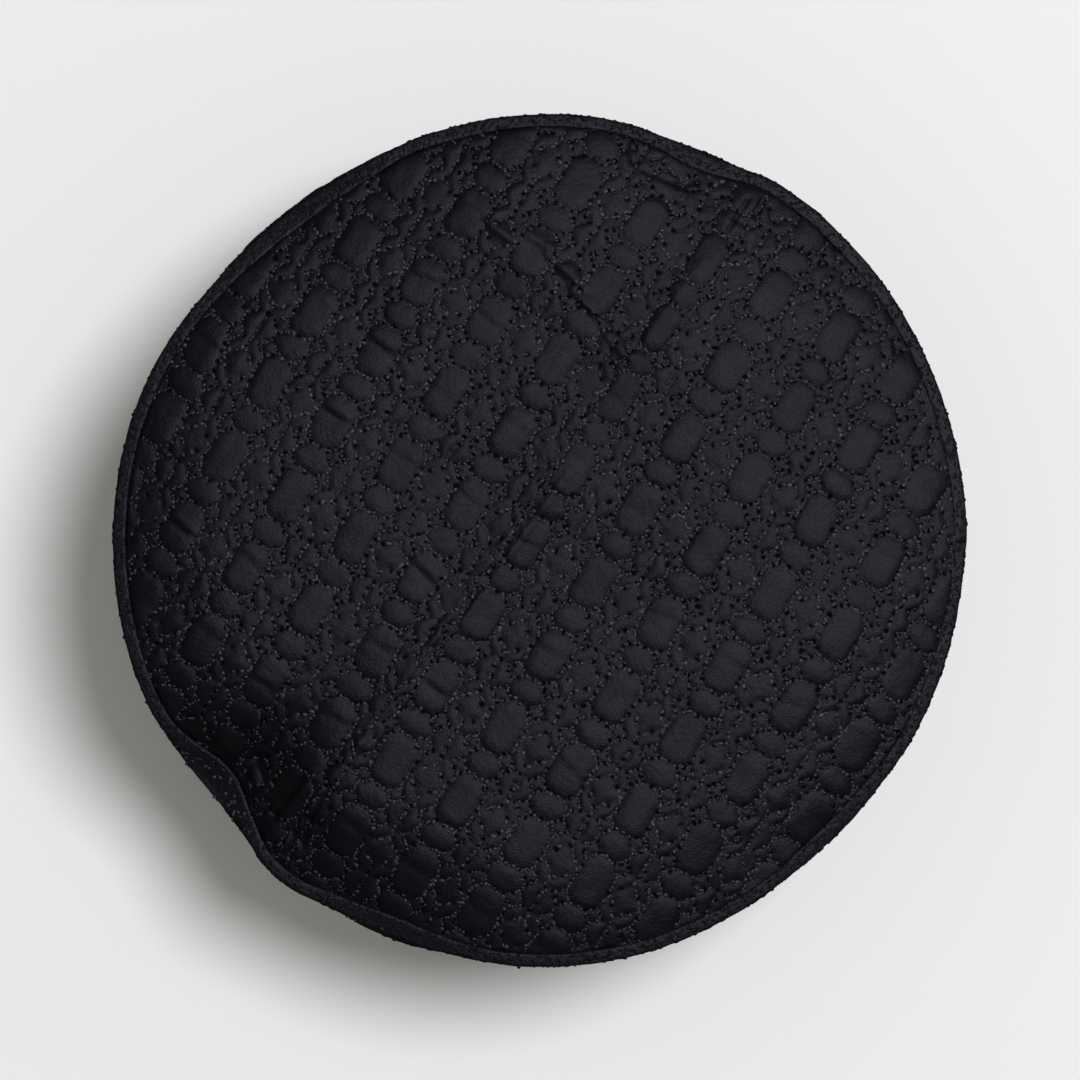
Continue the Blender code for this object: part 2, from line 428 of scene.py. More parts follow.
def on_plan(across, up):
    """Where a place on the flat cloth lies from straight above, before it meets the edge."""
    right, ahead = across + PATTERN_OFFSET[0], up + PATTERN_OFFSET[1]
    x = right * math.cos(PATTERN_TURN) + ahead * math.sin(PATTERN_TURN)
    y = ahead * math.cos(PATTERN_TURN) - right * math.sin(PATTERN_TURN)
    for size, shift, seed in ((17.0, 0.35, 11), (4.6, 0.28, 16)):
        warp_x = shift * lumps(x / size + 32.0, y / size + 32.0, seed=seed)
        warp_y = shift * lumps(x / size + 32.0, y / size + 32.0, seed=seed + 1)
        x, y = x + warp_x, y + warp_y
    for row in DRAWN:
        near = np.exp(-((x - row.x) ** 2 + (y - row.y) ** 2) / row.reach ** 2)
        x, y = x + row.to_right * near, y + row.ahead * near
    beside = beside_fold(x, y, CREASE)[0]
    drawn = -GATHER * np.tanh(beside / GATHER_SPREAD) * np.exp(-(beside / GATHER_FADE) ** 2)
    slack = 1.0 - (1.0 - GATHER_UPPER) * smooth_step((y - 30.0) / 30.0)
    drawn = drawn * np.where(beside > 0.0, slack, 1.0)
    long_x, long_y = CREASE.x1 - CREASE.x0, CREASE.y1 - CREASE.y0
    length = math.hypot(long_x, long_y)
    return x - drawn * long_y / length, y + drawn * long_x / length


moved = np.round(on_plan(np.array([0.0]), np.array([0.0])), 1)
print("the pattern's middle lies at", moved.ravel().tolist())

# %% [markdown]
# The crown's edge
#
# All round its edge the crown turns down over a small roll and goes into the seam. No sewn seam is a true
# line, so this one wanders by a few tenths of a millimetre, and it lies a little farther out on the right.

# %% Find the seam
EDGE_ROLL = 0.45
FARTHEST_AT = math.radians(355.0)


def lumps_round(angle, count, seed):
    """So many lumps round a circle, which meet where it closes."""
    return lumps(angle / math.tau * count, np.zeros_like(angle), seed=seed, repeat=count)


def at_seam(x, y):
    """The angle of points of the crown's plan, their distance out, and how far they pass the edge's roll."""
    angle, out = np.arctan2(y, x), np.hypot(x, y)
    wander = 0.35 * lumps_round(angle, 75, seed=13) + 0.15
    wander = wander + 0.20 * lumps_round(angle, 210, seed=18)
    wander = wander + 0.45 * np.maximum(np.cos(angle - FARTHEST_AT), 0.0) ** 2
    return angle, out, out - (seam_radius(angle) + wander - EDGE_ROLL)


print("the crown's right edge is out by", at_seam(np.array([95.0]), np.array([0.0]))[2].round(1))

# %% [markdown]
# The crown's form
#
# The solid's dome and folds give the height, and the sharp folds lie on them. Small puckers stand along the
# seam, because the round crown is eased on to the straight band. By the pinch at the lower left the cloth
# sags and lies in small gathers. The heights are sums of simple curves, so each one can be changed alone.

# %% Lay the crown over its shape
TUCK = 1.4
PUCKER_HIGH = 0.35
PUCKER_FADE = 4.5
PINCHED_AT = 224.0
PINCH_SPREAD = 14.0
PINCH_FADE = 9.0
SAG_AT = 222.0


def crown_place(across, up):
    """Where a place on the flat cloth lies on the cap."""
    x, y = on_plan(across, up)
    angle, out, over = at_seam(x, y)
    turn = np.clip(over / EDGE_ROLL, 0.0, math.pi / 2.0)
    past = np.maximum(over - EDGE_ROLL * math.pi / 2.0, 0.0)
    radius = np.where(over > 0.0, out - over + EDGE_ROLL * np.sin(turn), out)
    down = EDGE_ROLL * (1.0 - np.cos(turn)) + TUCK * (1.0 - np.exp(-past / TUCK))
    x, y = radius * np.cos(angle), radius * np.sin(angle)
    height = crown_height(x, y) + sum(fold_height(x, y, fold) for fold in SHARP_FOLDS)
    pucker = lumps_round(angle, 96, seed=14)
    height = height + PUCKER_HIGH * pucker * np.exp(np.minimum(over, 0.0) / PUCKER_FADE)
    pinched = np.exp(-(((np.degrees(angle) - PINCHED_AT + 180.0) % 360.0 - 180.0) / PINCH_SPREAD) ** 2)
    gathers = 0.9 * lumps(angle / math.tau * 210.0, out / 12.0, seed=17, repeat=210) - 0.7
    height = height + pinched * gathers * np.exp(np.minimum(over, 0.0) / PINCH_FADE)
    from_edge = np.maximum(-over, 0.0)
    sag = 0.7 * np.exp(-((from_edge - 20.0) / 11.0) ** 2) - 0.5 * np.exp(-from_edge / 7.0)
    height = height + sag * np.maximum(np.cos(angle - math.radians(SAG_AT)), 0.0)
    return np.stack((x, y, height - down), axis=1)


sample = crown_place(np.array([0.0, 60.0]), np.array([0.0, 0.0]))
print("two points of the crown:", sample.round(1).tolist())

# %% [markdown]
# Wrinkles across the patches
#
# Many of the octagons have a short crosswise wrinkle, most of all on the left, where the cap was squeezed.
# Each patch draws its wrinkle's depth, place and slope from a seeded table. Broad and small lumps are added
# to the puffs, and all of it flattens beside the seam, where the cloth is held.

# %% Wrinkle the crown's quilting
def cross_wrinkles(across, up):
    """A short fold across many of the octagons, deepest on the left, where the crown was squeezed."""
    column = np.round(across / (REPEAT_ACROSS * STEP_ACROSS))
    row = np.round(up / (REPEAT_UP * STEP_UP))
    right = across - column * REPEAT_ACROSS * STEP_ACROSS
    above = up - row * REPEAT_UP * STEP_UP
    chance = np.random.default_rng(15).uniform(0.0, 1.0, (4, 16, 16))
    depth, place, slope, bow = chance[:, (column + 8).astype(int) % 16, (row + 8).astype(int) % 16]
    x = on_plan(across, up)[0]
    squeezed = 0.30 + 0.70 * smooth_step((15.0 - x) / 45.0)
    off = above - (3.4 * place - 1.2) - 0.5 * (slope - 0.5) * right + 0.08 * (bow - 0.5) * right ** 2
    depth = np.maximum(depth - 0.35, 0.0) / 0.65
    groove = np.exp(-(off / 0.7) ** 2) - 0.55 * np.exp(-((off - 1.9) / 1.4) ** 2)
    return -0.50 * depth * squeezed * groove * np.exp(-(right / 3.9) ** 4)


def crown_lift(across, up):
    """How far the crown's quilting stands off the solid's face. It flattens beside the seam."""
    x, y = on_plan(across, up)
    over = at_seam(x, y)[2]
    free = smooth_step(0.4 - over / 2.6)
    uneven = 1.0 + 0.3 * lumps(across / 9.0 + 30.0, up / 9.0 + 30.0, seed=21)
    lift = (puff(across, up) * uneven - PUFF_MEAN) * (0.25 + 0.75 * free)
    lift = lift + 0.11 * free * lumps(across / 3.2 + 90.0, up / 3.2 + 90.0, seed=22)
    lift = lift + 0.04 * free * lumps(across / 1.7 + 180.0, up / 1.7 + 180.0, seed=24)
    lift = lift + free * cross_wrinkles(across, up)
    return lift + 0.30 * free * lumps(across / 16.0 + 9.0, up / 16.0 + 9.0, seed=23)


trial = np.linspace(-40.0, 40.0, 200)
trial = crown_lift(trial, trial)
print("the crown's cloth lies from", trial.min().round(2), "to", trial.max().round(2), "mm off the solid")

# %% [markdown]
# The crown's cloth
#
# A grid of squares runs along the pattern's own lines, so that the puffs' edges follow the mesh. The squares
# outside the seam are cut away, an extrusion makes the inner layer, and only the outer one is divided
# finely. Then every point moves from the flat grid to its place on the crown.

# %% Cut the crown's grid
FINE_ACROSS = [0, 3, 7, 11, 14]
STEPS_ACROSS = [0.0, 1.0, 2.0, 3.0, 4.0]
FINE_UP = [0, 3, 6, 10, 14, 16]
STEPS_UP = [0.0, 1.0, 2.0, 3.0, 4.0, 4.5]
CUT = 4
CROWN_REPEATS = 6
SEAM_ALLOWANCE = 3.4


def along_half(count, fine, steps):
    """Turns a count of mesh lines into steps of the pattern, for a repeat that mirrors at its middle."""
    half = fine[-1]
    whole = np.round(count / (2.0 * half))
    rest = count - whole * 2.0 * half
    return whole * 2.0 * steps[-1] + np.sign(rest) * np.interp(np.abs(rest), fine, steps)


def crown_pattern(column, row):
    across = along_half(column, FINE_ACROSS, STEPS_ACROSS) * STEP_ACROSS
    up = along_half(row, FINE_UP, STEPS_UP) * STEP_UP
    return across, up


def cut_crown():
    """The crown's cloth, still flat, with the counts of its mesh lines for X and Y and its layer for Z."""
    wide = CROWN_REPEATS * 2 * FINE_ACROSS[-1]
    tall = CROWN_REPEATS * 2 * FINE_UP[-1]
    mesh = bmesh.new()
    bmesh.ops.create_grid(mesh, x_segments=2 * wide // CUT, y_segments=2 * tall // CUT, size=1.0)
    bmesh.ops.scale(mesh, vec=(wide, tall, 1.0), verts=mesh.verts)
    middles = np.array([face.calc_center_median() for face in mesh.faces])
    across, up = crown_pattern(middles[:, 0], middles[:, 1])
    outside = at_seam(*on_plan(across, up))[2] > EDGE_ROLL + SEAM_ALLOWANCE
    faces = list(mesh.faces)
    unwanted = [face for face, out in zip(faces, outside) if out]
    bmesh.ops.delete(mesh, geom=unwanted, context="FACES")
    made = bmesh.ops.extrude_face_region(mesh, geom=list(mesh.faces), use_keep_orig=True)
    lower = [item for item in made["geom"] if isinstance(item, bmesh.types.BMVert)]
    bmesh.ops.translate(mesh, vec=(0.0, 0.0, -1.0), verts=lower)
    outer = [edge for edge in mesh.edges if edge.verts[0].co.z > -0.5 and edge.verts[1].co.z > -0.5]
    bmesh.ops.subdivide_edges(mesh, edges=outer, cuts=CUT - 1, use_grid_fill=True)
    bmesh.ops.recalc_face_normals(mesh, faces=mesh.faces)
    return mesh


def print_counts(name, mesh):
    open_edges = sum(1 for edge in mesh.edges if not edge.is_manifold)
    print(name, "has", len(mesh.verts), "points,", len(mesh.faces), "faces and", open_edges, "open edges")


crown_mesh = cut_crown()
print_counts("the crown's grid", crown_mesh)

# %% [markdown]
# Finishing a cloth
#
# The flat mesh keeps its line counts in its coordinates, so numpy can work out all the final places at once.
# The same flat places make the UV map, in steps of the chart, and the weave and needle holes follow it. Faces
# of the inner layer get the second material, which is plain.

# %% Move a cloth's points to the cap


def read_points(mesh):
    return np.array([vert.co for vert in mesh.verts])


def finish_cloth(name, mesh, points, chart):
    """Makes the object from a flat mesh, its final points in mm and its places on the chart."""
    inner = read_points(mesh)[:, 2] < -0.5
    data = bpy.data.meshes.new(name)
    mesh.to_mesh(data)
    mesh.free()
    data.vertices.foreach_set("co", (points * MM).astype(np.float32).ravel())
    corner_verts = np.zeros(len(data.loops), np.int32)
    data.loops.foreach_get("vertex_index", corner_verts)
    chart_map = data.uv_layers.new(name="chart")
    chart_map.uv.foreach_set("vector", chart[corner_verts].astype(np.float32).ravel())
    starts = np.zeros(len(data.polygons), np.int32)
    data.polygons.foreach_get("loop_start", starts)
    on_inner = inner[corner_verts[starts]]
    totals = np.zeros(len(data.polygons), np.int32)
    data.polygons.foreach_get("loop_total", totals)
    all_inner = np.minimum.reduceat(inner[corner_verts].astype(np.int32), starts)
    data.polygons.foreach_set("material_index", np.where(on_inner & (all_inner > 0), 1, 0).astype(np.int32))
    data.shade_smooth()
    data.update()
    made = bpy.data.objects.new(name, data)
    bpy.context.scene.collection.objects.link(made)
    triangles = int((totals - 2).sum())
    print(name, "has", triangles, "triangles")
    return made


# %% Lay the crown's cloth
flat = read_points(crown_mesh)
across, up = crown_pattern(flat[:, 0], flat[:, 1])
crown_points = lifted(crown_place, across, up, crown_lift(across, up))[0]
plan_x, plan_y = on_plan(across, up)
angle, out, over = at_seam(plan_x, plan_y)
inside = np.minimum(out, seam_radius(angle) - 0.6)
inner_x, inner_y = inside * np.cos(angle), inside * np.sin(angle)
inner_points = np.stack((inner_x, inner_y, crown_height(inner_x, inner_y) - CROWN_WALL), axis=1)
crown_points = np.where(flat[:, 2:3] < -0.5, inner_points, crown_points)
chart = np.stack((across / STEP_ACROSS, up / STEP_UP), axis=1)
crown_cloth = finish_cloth("crown_cloth", crown_mesh, crown_points, chart)

# %% [markdown]
# Where the band's cloth lies
#
# The band is a strip of the same cloth, 35 repeats round and four high. It runs up the outside from a plain
# hem, over the rounded top, and ends just inside, hidden by the crown. Under the top the cloth follows the
# solid's wall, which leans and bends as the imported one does.

# %% Follow the solid's wall
BAND_REPEATS = 35
HEM = 6.0
REPEAT_WIDE = REPEAT_ACROSS * STEP_ACROSS
REPEAT_TALL = REPEAT_UP * STEP_UP
STRIP_LENGTH = BAND_REPEATS * REPEAT_WIDE


def wall_radius(angle, below_top):
    """The radius of the solid band's outer face at a distance under its top edge."""
    above_rim = smooth_step((BAND_HEIGHT - below_top) / RIM_REACH)
    radius = rim_radius(angle) + (round_radius(angle) - rim_radius(angle)) * above_rim
    return radius - pulled_in(angle, below_top)


def band_point(angle, inset, height):
    """Where a point of the band's wall lies, from its distance in and its height on a plain band."""
    sink = smooth_step(1.0 - (BAND_HEIGHT - height) / SINK_REACH)
    radius = wall_radius(angle, BAND_HEIGHT - height) - inset
    return np.stack((radius * np.cos(angle), radius * np.sin(angle), height - sunk(angle) * sink), axis=1)


print("strip round the band in mm:", round(STRIP_LENGTH, 1), "of", round(math.tau * EDGE_RADIUS, 1))

# %% [markdown]
# The outline from above
#
# The rounded top has to reach the outline that the camera sees. Where the crown has pulled the top edge in,
# a lower part of the wall makes the outline, so the widest place is looked for at every height.

# %% Measure the outline
TOP_BELOW = 2.0
SEEN_REACH = 28.0


def seen_outline(angles, pushed):
    """The outline from the camera: the widest that the band looks at any height, with its top pushed out."""
    widest = np.zeros_like(angles)
    for below_top in np.arange(1.0, 60.0, 1.0):
        depth = below_top + sunk(angles) * smooth_step(1.0 - below_top / SINK_REACH)
        share = 1.0 - smooth_step((below_top - TOP_BELOW) / SEEN_REACH)
        radius = wall_radius(angles, below_top) + pushed * share
        widest = np.maximum(widest, radius * CAMERA_RISE / (CAMERA_RISE + depth))
    return widest


OUTLINE_ANGLES = np.radians(np.arange(0.0, 361.0, 0.5))
SOLID_OUTLINE = seen_outline(OUTLINE_ANGLES, np.zeros_like(OUTLINE_ANGLES))
OUTLINE_WIDEST = seen_outline(OUTLINE_ANGLES, SOLID_OUTLINE - wall_radius(OUTLINE_ANGLES, TOP_BELOW))
print("outline radius in mm:", OUTLINE_WIDEST.min().round(1), "to", OUTLINE_WIDEST.max().round(1))

# %% [markdown]
# The rounded top
#
# From above, the band shows as a narrow padded ring between the outline and the seam. Its section is a curve
# that starts steep, runs over a gentle slope and rolls down into the seam. Where the ring is wide it is
# stretched straight. A lathed ring would be quicker, but it couldn't change its width round the cap.

# %% Round the top over
SHOULDER_SHARE = 0.8
SHOULDER_END = 79.6
SHOULDER_SLOPE = 0.62
WIDE_FROM = 2.8
WIDE_OVER = 1.6
SEAM_ROLL = 0.45
SEAM_REACH = 1.7
BULGE_REACH = 16.0
HEM_ROUND = 0.8


def shoulder(angle):
    """The radius of the middle of the wall's top, and how wide the rounded shoulder is outside it."""
    crest = wall_radius(angle, 0.0) - BAND_WALL / 2.0
    seen = np.interp(angle % math.tau, OUTLINE_ANGLES, OUTLINE_WIDEST)
    depth = SHOULDER_SHARE * (seen - crest) + sunk(angle)
    return crest, seen * (CAMERA_RISE + depth) / CAMERA_RISE - crest


def shoulder_curve():
    """The shoulder's section, from the outline (1, 0) to the seam (0, 1), with a point's share of the way."""
    turn = np.linspace(0.0, math.pi / 2.0, 200)
    out = np.cos(turn) ** (2.0 / 3.0)
    rise = (1.0 - SHOULDER_SLOPE) * np.sin(turn) ** (2.0 / 3.0) + SHOULDER_SLOPE * (1.0 - out)
    steps = np.hypot(np.diff(out), 0.75 * np.diff(rise))
    way = np.concatenate(([0.0], np.cumsum(steps)))
    return way / way[-1], out, rise


CURVE_WAY, CURVE_OUT, CURVE_RISE = shoulder_curve()


def band_place(across, up):
    """The outer cloth: up the wall, over the padded shoulder to the seam and down into it."""
    angle = across / STRIP_LENGTH * math.tau
    crest, wide = shoulder(angle)
    tall = SHOULDER_SHARE * wide
    below = BAND_HEIGHT - np.minimum(up, BAND_HEIGHT - tall)
    short = np.maximum(crest + wide - wall_radius(angle, below), 0.0)
    bulge = short * (1.0 - smooth_step((below - tall) / BULGE_REACH))
    round_share = np.clip((up - BAND_HEIGHT + tall) / (SHOULDER_END - BAND_HEIGHT + tall), 0.0, 1.0)
    straight = smooth_step((wide - WIDE_FROM) / WIDE_OVER)
    share_out = (1.0 - straight) * np.interp(round_share, CURVE_WAY, CURVE_OUT)
    share_out = share_out + straight * (1.0 - round_share)
    share_up = (1.0 - straight) * np.interp(round_share, CURVE_WAY, CURVE_RISE) + straight * round_share
    rolled = np.clip((up - SHOULDER_END) / SEAM_ROLL, 0.0, math.pi / 2.0)
    past = np.maximum(up - SHOULDER_END - SEAM_ROLL * math.pi / 2.0, 0.0)
    seam = crest - SEAM_REACH + SEAM_ROLL
    rim = np.clip(1.0 - up / HEM_ROUND, 0.0, 1.0)
    wall = wall_radius(angle, below) + bulge - HEM_ROUND * (1.0 - np.sqrt(1.0 - rim ** 2))
    over = seam + (crest + wide - seam) * share_out - SEAM_ROLL * np.sin(rolled)
    radius = np.where(round_share > 0.0, over, wall)
    height = np.where(round_share > 0.0, BAND_HEIGHT - tall * (1.0 - share_up), BAND_HEIGHT - below)
    height = height - SEAM_ROLL * (1.0 - np.cos(rolled)) - past
    sink = smooth_step(1.0 - (BAND_HEIGHT - height) / SINK_REACH)
    return np.stack((radius * np.cos(angle), radius * np.sin(angle), height - sunk(angle) * sink), axis=1)


ring_wide = shoulder(quarter_turns)[1].round(1).tolist()
print("width of the ring every quarter turn:", ring_wide)


# %% Swell the band's quilting
def band_lift(across, up):
    """How far the band's quilting stands off the solid's face. The hem is plain and the top is tighter."""
    quilted = smooth_step((up - HEM) / 1.5)
    tight = 0.75 - 0.65 * smooth_step((up - BAND_HEIGHT + 36.0) / 30.0)
    uneven = 1.0 + 0.3 * lumps(across / STRIP_LENGTH * 66.0, up / 9.0, seed=31, repeat=66)
    lift = (puff(across, up - HEM - REPEAT_TALL / 2.0) * uneven - PUFF_MEAN) * tight * quilted
    lift = lift + 0.10 * lumps(across / STRIP_LENGTH * 200.0, up / 3.0, seed=32, repeat=200)
    lift = lift + 0.35 * tight * lumps(across / STRIP_LENGTH * 33.0, up / 18.0, seed=33, repeat=33)
    groove = 0.35 * np.exp(-((up - HEM + 0.8) / 0.6) ** 2)
    return lift - groove - 0.15 * (1.0 - quilted)


trial = band_lift(np.full(200, 5.0), np.linspace(0.0, 78.0, 200))
print("the band's cloth lies from", trial.min().round(2), "to", trial.max().round(2), "mm off the solid")

# %% [markdown]
# The band's cloth
#
# One column of points is spun round the cap, which closes the ring by itself. Only the outer layer is
# divided finely. Its lines lie closest by the top, which keeps the roll into the seam narrow.

# %% Cut the band's strip
BAND_FINE_ACROSS = [0, 3, 6, 9, 12]
BAND_FINE_UP = [0, 2, 4, 7, 10, 12]
BAND_CUT = 6
HEM_LINES = 6
TOP_LINES = [0, 13, 23, 24]
IN_SEAM = 80.4
TOP_UPS = [HEM + 3.0 * REPEAT_TALL, 76.8, IN_SEAM, HEM + 4.0 * REPEAT_TALL]
BAND_COLUMNS = BAND_REPEATS * 2 * BAND_FINE_ACROSS[-1]
BAND_ROWS = HEM_LINES + 4 * 2 * BAND_FINE_UP[-1]


def cut_band():
    """The band's cloth as a plain ring: the radius tells its two layers and the height counts mesh lines."""
    rows = BAND_ROWS // BAND_CUT
    loop = [(10.0, row) for row in range(rows + 1)] + [(9.0, row) for row in reversed(range(rows + 1))]
    mesh = bmesh.new()
    verts = [mesh.verts.new((radius, 0.0, float(row))) for radius, row in loop]
    edges = [mesh.edges.new(pair) for pair in zip(verts, verts[1:] + verts[:1])]
    steps = BAND_COLUMNS // BAND_CUT
    bmesh.ops.spin(mesh, geom=verts + edges, cent=(0.0, 0.0, 0.0), axis=(0.0, 0.0, 1.0),
                   angle=math.tau, steps=steps, use_merge=True)
    bmesh.ops.remove_doubles(mesh, verts=mesh.verts, dist=0.001)
    outer = [edge for edge in mesh.edges if min(vert.co.xy.length for vert in edge.verts) > 9.5]
    bmesh.ops.subdivide_edges(mesh, edges=outer, cuts=BAND_CUT - 1, use_grid_fill=True)
    bmesh.ops.recalc_face_normals(mesh, faces=mesh.faces)
    return mesh


band_mesh = cut_band()
print_counts("the band's grid", band_mesh)

# %% Lay the band's cloth
ring = read_points(band_mesh)
turns = np.arctan2(ring[:, 1], ring[:, 0]) % math.tau / math.tau
column = np.round(turns * BAND_COLUMNS) % BAND_COLUMNS
row = np.round(ring[:, 2] * BAND_CUT)
inner_layer = np.hypot(ring[:, 0], ring[:, 1]) < 9.5
across = along_half(column, BAND_FINE_ACROSS, STEPS_ACROSS) * STEP_ACROSS
quilted_up = along_half(row - HEM_LINES - BAND_FINE_UP[-1], BAND_FINE_UP, STEPS_UP) * STEP_UP
up = np.where(row < HEM_LINES, row / HEM_LINES * HEM, HEM + REPEAT_TALL / 2.0 + quilted_up)
near_top = row - BAND_ROWS + TOP_LINES[-1]
up = np.where(near_top > 0.0, np.interp(near_top, TOP_LINES, TOP_UPS), up)
band_points = lifted(band_place, across, up, band_lift(across, up))[0]
inner_height = np.clip(row / BAND_ROWS, 0.0, 1.0) * (BAND_HEIGHT - BAND_WALL)
inner_inset = BAND_WALL - 0.8 * np.clip(1.0 - inner_height / 0.8, 0.0, 1.0)
inner_points = band_point(across / STRIP_LENGTH * math.tau, inner_inset, inner_height)
band_points = np.where(inner_layer[:, None], inner_points, band_points)
band_points[:, 2] = np.maximum(band_points[:, 2], 0.0)
chart = np.stack((across / STEP_ACROSS, (up - HEM - REPEAT_TALL / 2.0) / STEP_UP), axis=1)
for vert, hidden in zip(band_mesh.verts, inner_layer):
    vert.co.z = -1.0 if hidden else 0.0
band_cloth = finish_cloth("band_cloth", band_mesh, band_points, chart)

# %% [markdown]
# The stitches
#
# Each stitch between two needle holes shows as two short plump strands, because it dips into the wadding in
# its middle. There are thousands, so one small lump is made once, and arrays place a copy of it for every
# strand. A seeded shift, turn and size make them uneven, as on the real cloth.

# %% Chart one repeat's stitches


def ring_of(points):
    return list(zip(points, points[1:] + points[:1]))


def repeat_stitches():
    """The two ends of each stitch in one repeat, in steps from the tall octagon's middle."""
    pairs = []
    for side in (-2, 2):
        pairs += [((side, step), (side, step + 1)) for step in (-2, -1, 0, 1)]
        pairs.append(((side, 4), (side, 5)))
    for level in (-3, 3):
        pairs += [((step, level), (step + 1, level)) for step in (-1, 0)]
    pairs += [((4, step), (4, step + 1)) for step in (2, 3, 4, 5, 6)]
    rosette = [(1, 0), (0.5, 0.5), (0, 1), (-0.5, 0.5), (-1, 0), (-0.5, -0.5), (0, -1), (0.5, -0.5)]
    for middle_x in (-2, 2):
        for middle_y in (-3, 3):
            pairs += ring_of([(middle_x + x, middle_y + y) for x, y in rosette])
    pairs += ring_of([(4, 2), (3, 1), (2, 0), (3, -1), (4, -2), (5, -1), (6, 0), (5, 1)])
    return np.array(pairs, float)


one_repeat = repeat_stitches()
print("stitches in one repeat:", len(one_repeat))

# %% Make a stitch and its copies
def stitch_lump(around, rings):
    """A lump one unit in size, lying along X. Its ends are dipped into the cloth later, when it is sewn."""
    mesh = bmesh.new()
    bmesh.ops.create_uvsphere(mesh, u_segments=around, v_segments=rings, radius=0.5)
    points = np.array([vert.co for vert in mesh.verts])[:, [2, 0, 1]]
    faces = [[vert.index for vert in face.verts] for face in mesh.faces]
    mesh.free()
    return points, faces


def all_stitches(columns, rows):
    """The ends of the stitches of many repeats, in mm on the flat cloth."""
    moves = np.array([(column * REPEAT_ACROSS, row * REPEAT_UP) for column in columns for row in rows], float)
    ends = one_repeat[None, :, :, :] + moves[:, None, None, :]
    return ends.reshape(-1, 2, 2) * (STEP_ACROSS, STEP_UP)


print("faces of a stitch's lump:", len(stitch_lump(6, 3)[1]))

# %% [markdown]
# Sewing
#
# A strand is a lump turned to lie along its stitch and out of the cloth. All of a piece's strands are worked
# out as one large array and made one mesh, which is far quicker than thousands of objects. About a quarter
# of the strands have sunk into the wadding and are left out.

# %% Sew many strands at once
THREAD_WIDE = 0.90
THREAD_HIGH = 0.28
THREAD_ARCH = 0.14
STRAND_SHARE = 0.52
STRAND_PLACE = 0.25
STRANDS_SHOWN = 0.74
THREAD_LIFT = 0.11


def sew(name, place, lift_of, ends, lump, astray, seed):
    """Joins two lumps for each stitch into one mesh on a cloth, less those that have sunk out of sight."""
    chance = np.random.default_rng(seed)
    points, faces = lump
    run = np.repeat(ends[:, 1] - ends[:, 0], 2, axis=0)
    sides = np.tile([-STRAND_PLACE, STRAND_PLACE], len(ends))
    middle = np.repeat(ends.mean(axis=1), 2, axis=0) + run * sides[:, None]
    shown = chance.uniform(0.0, 1.0, len(run)) < STRANDS_SHOWN
    run, middle = run[shown], middle[shown]
    count = len(run)
    middle = middle + chance.normal(0.0, 1.0, (count, 2)) * astray(middle[:, 1])[:, None]
    length = np.linalg.norm(run, axis=1)
    bearing = np.arctan2(run[:, 1], run[:, 0]) + chance.normal(0.0, 0.5, count)
    lift = lift_of(middle[:, 0], middle[:, 1]) + THREAD_LIFT
    spot, rightward, upward, outward = lifted(place, middle[:, 0], middle[:, 1], lift)
    along = rightward * np.cos(bearing)[:, None] + upward * np.sin(bearing)[:, None]
    across = np.cross(outward, along)
    long = STRAND_SHARE * length * np.clip(chance.normal(1.0, 0.2, count), 0.5, 1.6)
    wide = THREAD_WIDE * np.clip(chance.normal(1.0, 0.25, count), 0.4, 1.5)
    high = THREAD_HIGH * np.clip(chance.normal(1.0, 0.25, count), 0.4, 1.5)
    body = points[None, :, 0, None] * (along * long[:, None])[:, None, :]
    body = body + points[None, :, 1, None] * (across * wide[:, None])[:, None, :]
    rise = points[None, :, 2] * high[:, None] - THREAD_ARCH * (2.0 * points[None, :, 0]) ** 2
    body = body + rise[:, :, None] * outward[:, None, :] + spot[:, None, :]
    numbers = [[corner + index * len(points) for corner in face] for index in range(count) for face in faces]
    data = bpy.data.meshes.new(name)
    data.from_pydata((body.reshape(-1, 3) * MM).tolist(), [], numbers)
    corner_verts = np.zeros(len(data.loops), np.int32)
    data.loops.foreach_get("vertex_index", corner_verts)
    strand_map = data.uv_layers.new(name="strands")
    flat_points = np.tile(points[:, :2] + 0.5, (count, 1))
    strand_map.uv.foreach_set("vector", flat_points[corner_verts].astype(np.float32).ravel())
    tone = data.attributes.new("tone", "FLOAT", "POINT")
    tone.data.foreach_set("value", np.repeat(chance.uniform(0.0, 1.0, count), len(points)).astype(np.float32))
    data.shade_smooth()
    made = bpy.data.objects.new(name, data)
    bpy.context.scene.collection.objects.link(made)
    print(name, "has", count, "strands and", count * sum(len(face) - 2 for face in faces), "triangles")
    return made


# %% Sew the crown
crown_ends = all_stitches(range(-CROWN_REPEATS, CROWN_REPEATS + 1), range(-CROWN_REPEATS, CROWN_REPEATS + 1))
stitch_x, stitch_y = on_plan(*crown_ends.mean(axis=1).T)
crown_ends = crown_ends[at_seam(stitch_x, stitch_y)[2] < 0.2]
crown_stitches = sew("crown_stitches", crown_place, crown_lift, crown_ends, stitch_lump(6, 3),
                     astray=lambda up: np.full(len(up), 0.22), seed=41)

# %% Sew the band
band_ends = all_stitches(range(BAND_REPEATS), range(4))
band_ends[:, :, 1] += HEM + REPEAT_TALL / 2.0
middles = band_ends.mean(axis=1)
band_ends = band_ends[(middles[:, 1] > HEM + 0.5) & (middles[:, 1] < IN_SEAM)]
band_stitches = sew("band_stitches", band_place, band_lift, band_ends, stitch_lump(4, 3),
                    astray=lambda up: 0.2 + 0.7 * smooth_step((up - 70.0) / 6.0), seed=42)
